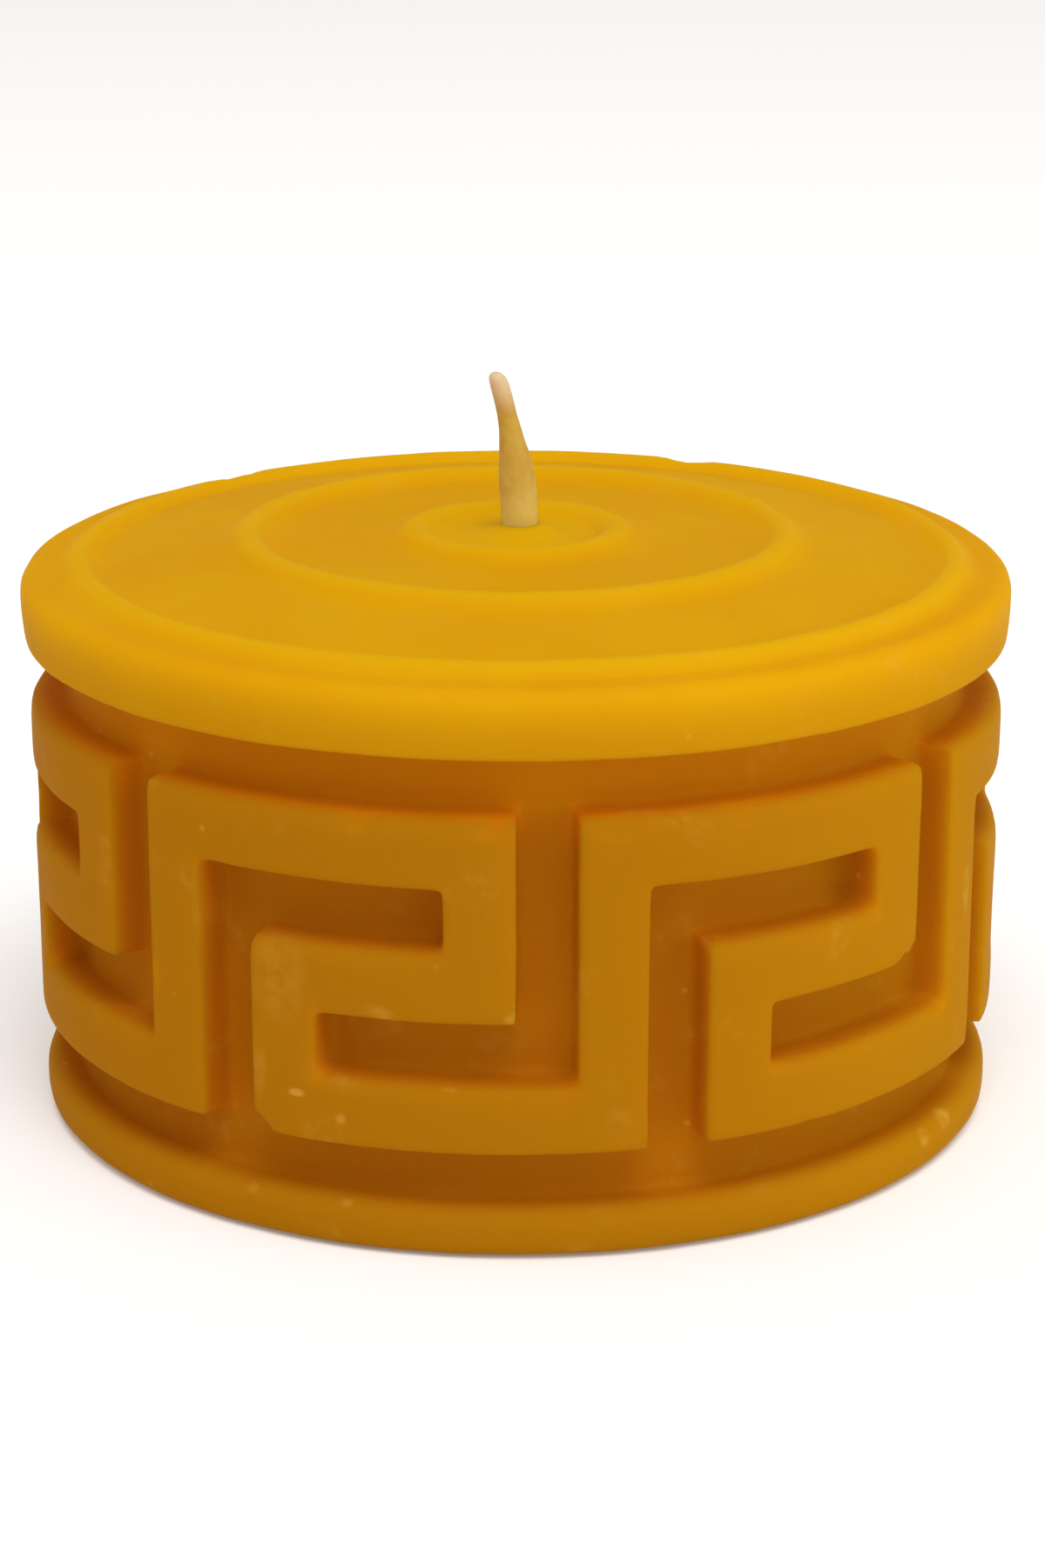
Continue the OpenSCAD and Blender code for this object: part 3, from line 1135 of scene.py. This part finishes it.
@dataclass
class Wick:
    """The waxed cotton wick: its coat of wax and the four strands of its braid."""

    sizes: CandleSizes
    coat_finish: bpy.types.Material
    yarn_finish: bpy.types.Material
    coat_t: float = 0.22 * MM
    sides: int = 20
    pitch: float = 9 * MM
    lean: float = 1.95 * MM
    settle: float = 0.2 * MM
    film: float = 0.08 * MM
    taper: float = 0.47
    yarn_steps: int = 90

    def middle(self, z: float) -> Vector:
        """Point of the wick's middle line.

        Args:
            z: Height.

        Returns:
            The point, upright in the wax and leaning to the left above it.
        """
        s = self.sizes
        wax = s.top_z(0)
        share = max(0.0, (z - wax) / (s.tip_z - wax))
        lean = self.lean * share**2.2
        settle = self.settle * min(1.0, z / wax)
        return Vector((s.wick_shift - settle - lean, 0, z))

    def thickness(self, z: float) -> float:
        """Radius of the wick at a height.

        Args:
            z: Height.

        Returns:
            The radius: full in the wax and drawn thinner towards the tip.
        """
        s = self.sizes
        start, end = s.top_z(0) + 4.5 * MM, s.tip_z - 2.8 * MM
        share = min(1.0, max(0.0, (z - start) / (end - start)))
        eased = share * share * (3 - 2 * share)
        return (s.wick_r + self.film) * (1 - self.taper * eased)

    def _coat(self) -> None:
        """Sweeps the coat up the middle line, rounds its tip and hollows its foot."""
        s = self.sizes
        foot = self.middle(0)
        piece = Piece(
            "wick_wax",
            lambda: bpy.ops.mesh.primitive_circle_add(
                vertices=self.sides, radius=self.thickness(0), location=foot, fill_type="NOTHING"
            ),
        )
        wax, dome = s.top_z(0), self.thickness(s.tip_z)
        heights = [wax * i / 8 for i in range(1, 9)]
        rise = s.tip_z - 0.02 * MM - dome - wax
        heights += [wax + rise * i / 14 for i in range(1, 15)]
        radii = [self.thickness(z) for z in heights]
        for degrees in (25, 50, 72):
            angle = math.radians(degrees)
            heights.append(wax + rise + dome * math.sin(angle))
            radii.append(dome * math.cos(angle))
        here, size = foot, self.thickness(0)
        for z, radius in zip(heights, radii):
            there = self.middle(z)
            bpy.ops.mesh.extrude_region_move(TRANSFORM_OT_translate={"value": there - here})
            ratio = radius / size
            bpy.ops.transform.resize(value=(ratio, ratio, 1), center_override=there)
            here, size = there, radius
        bpy.ops.mesh.edge_face_add()
        bpy.ops.mesh.poke()
        piece.take(Part.POINT, lambda at, _: at.z < 0.01 * MM)
        inner = (s.wick_r - self.coat_t) / s.wick_r
        bpy.ops.mesh.extrude_region_move(TRANSFORM_OT_translate={"value": CENTRE})
        bpy.ops.transform.resize(value=(inner, inner, 1), center_override=foot)
        bpy.ops.mesh.extrude_region_move(TRANSFORM_OT_translate={"value": (0, 0, 3 * MM)})
        bpy.ops.mesh.edge_face_add()
        piece.take_all()
        bpy.ops.mesh.normals_make_consistent(inside=False)
        piece.finish_with("SUBSURF", levels=2, render_levels=2)
        piece.finish_with(
            "DISPLACE",
            texture=clouds("wick_lumps", 2.2 * MM),
            strength=0.1 * MM,
            mid_level=1.0,
            texture_coords="LOCAL",
        )
        piece.done(Slot.WICK, self.coat_finish, "wick_coat")

    def _strand(self, name: str, way: int, start: float) -> None:
        """Lays one strand of the braid.

        Args:
            name: CAD node that the strand stands for.
            way: 1 or -1, the sense in which it goes round.
            start: Angle at the base.
        """
        s = self.sizes
        bottom, top = 0.4 * MM, s.tip_z - 1.4 * MM
        bpy.ops.object.select_all(action="DESELECT")
        curve = bpy.data.curves.new(f"yarn_{name[-1]}", "CURVE")
        curve.dimensions = "3D"
        curve.bevel_depth = 1.0
        curve.bevel_resolution = 2
        curve.use_fill_caps = True
        line = curve.splines.new("POLY")
        line.points.add(self.yarn_steps)
        for i, point in enumerate(line.points):
            z = bottom + (top - bottom) * i / self.yarn_steps
            reach = self.thickness(z) - self.coat_t
            turn = 2 * math.pi * z / self.pitch
            swing = reach / 4
            out = 2 * swing + way * swing * 0.9 * math.cos(2 * turn)
            angle = way * turn + start
            at = self.middle(z) + Vector((out * math.cos(angle), out * math.sin(angle), 0))
            point.co = (*at, 1.0)
            point.radius = swing * 0.96
        obj = bpy.data.objects.new(curve.name, curve)
        bpy.context.scene.collection.objects.link(obj)
        obj.select_set(True)
        bpy.context.view_layer.objects.active = obj
        bpy.ops.object.convert(target="MESH")
        obj = bpy.context.active_object
        bpy.ops.object.shade_smooth()
        obj.data.materials.clear()
        obj.data.materials.append(self.yarn_finish)
        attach(obj, BODY)
        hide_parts(name)
        LOG.info("%s: %d faces", obj.name, len(obj.data.polygons))

    def build(self) -> None:
        """Models, dresses and places the coat and the strands."""
        self._coat()
        ways = ((1, 0.0), (1, math.pi), (-1, 0.0), (-1, math.pi))
        for number, (way, start) in enumerate(ways, start=1):
            self._strand(f"wick_strand_{number}", way, start)


# ---------------------------------------------------------------- the studio


@dataclass
class Lamp:
    """One soft rectangular light that points at the candle."""

    name: str
    place: tuple[float, float, float]
    size: float
    power: float
    tone: tuple[float, float, float] = (1.0, 1.0, 1.0)

    def build(self, target: Vector) -> None:
        """Hangs the lamp.

        Args:
            target: Point that the lamp faces.
        """
        light = bpy.data.lights.new(self.name, "AREA")
        light.shape = "DISK"
        light.size = self.size
        light.energy = self.power
        light.color = self.tone
        obj = bpy.data.objects.new(self.name, light)
        obj.location = self.place
        obj.rotation_euler = (target - Vector(self.place)).to_track_quat("-Z", "Y").to_euler()
        bpy.context.scene.collection.objects.link(obj)


@dataclass
class Studio:
    """Pale floor, soft light and the camera."""

    floor_half: float = 2.5
    room_light: float = 0.6
    camera_at: tuple[float, float, float] = (0.0, -0.2893, 0.1139)
    tilt_down: float = math.radians(18.79)
    lens: float = 84.06
    shift: tuple[float, float] = (0.0040, 0.0719)

    def _camera(self) -> None:
        """Sets up the camera, a little above the candle."""
        camera = bpy.data.cameras.new("camera")
        camera.lens = self.lens
        camera.sensor_width = 36.0
        camera.shift_x, camera.shift_y = self.shift
        camera.clip_start, camera.clip_end = 0.01, 20.0
        obj = bpy.data.objects.new("camera", camera)
        obj.location = self.camera_at
        obj.rotation_euler = (math.pi / 2 - self.tilt_down, 0, 0)
        bpy.context.scene.collection.objects.link(obj)
        bpy.context.scene.camera = obj

    def _floor(self) -> None:
        """Lays the floor, slightly under the base."""
        bpy.ops.object.select_all(action="DESELECT")
        bpy.ops.mesh.primitive_plane_add(size=2 * self.floor_half, location=CENTRE)
        floor = bpy.context.active_object
        floor.name = "floor"
        floor.data.materials.append(PaperFinish().material())

    def _room(self) -> None:
        """Lights the room evenly and dimly, for soft shadows."""
        world = bpy.data.worlds.new("room")
        world.use_nodes = True
        background = world.node_tree.nodes["Background"]
        background.inputs["Color"].default_value = (1.0, 0.98, 0.95, 1.0)
        background.inputs["Strength"].default_value = self.room_light
        bpy.context.scene.world = world

    def build(self) -> None:
        """Sets up the whole studio."""
        self._floor()
        self._room()
        self._camera()
        target = Vector((0, 0, 0.02))
        Lamp("ceiling_lamp", (0.25, -1.35, 2.55), 1.9, 46.0).build(target)
        Lamp("left_lamp", (-0.6, 0.1, 0.25), 0.4, 0.25).build(target)
        Lamp("right_lamp", (0.55, -0.25, 0.05), 0.4, 1.3, (0.88, 1.0, 0.8)).build(target)
        bpy.context.scene.view_settings.view_transform = "Standard"


def main() -> None:
    """Builds the candle and its studio."""
    logging.basicConfig(level=logging.INFO, format="%(name)s: %(message)s")
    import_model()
    sizes = CandleSizes.from_frame()
    wax = WaxFinish(marks=BLOOM_AND_PAINTED_HIGHLIGHT_MARKS).material(sizes)
    # The poured fill has its own paler colour for the painted side shade.
    fill = WaxFinish(name="poured_beeswax", side=srgb(186, 126, 14), gloss=0.3).material(sizes)
    WaxBody(sizes, wax).build()
    BaseFill(sizes, fill).build()
    Wick(sizes, WickFinish().material(sizes), CottonFinish().material()).build()
    Studio().build()


if __name__ == "__main__":
    main()
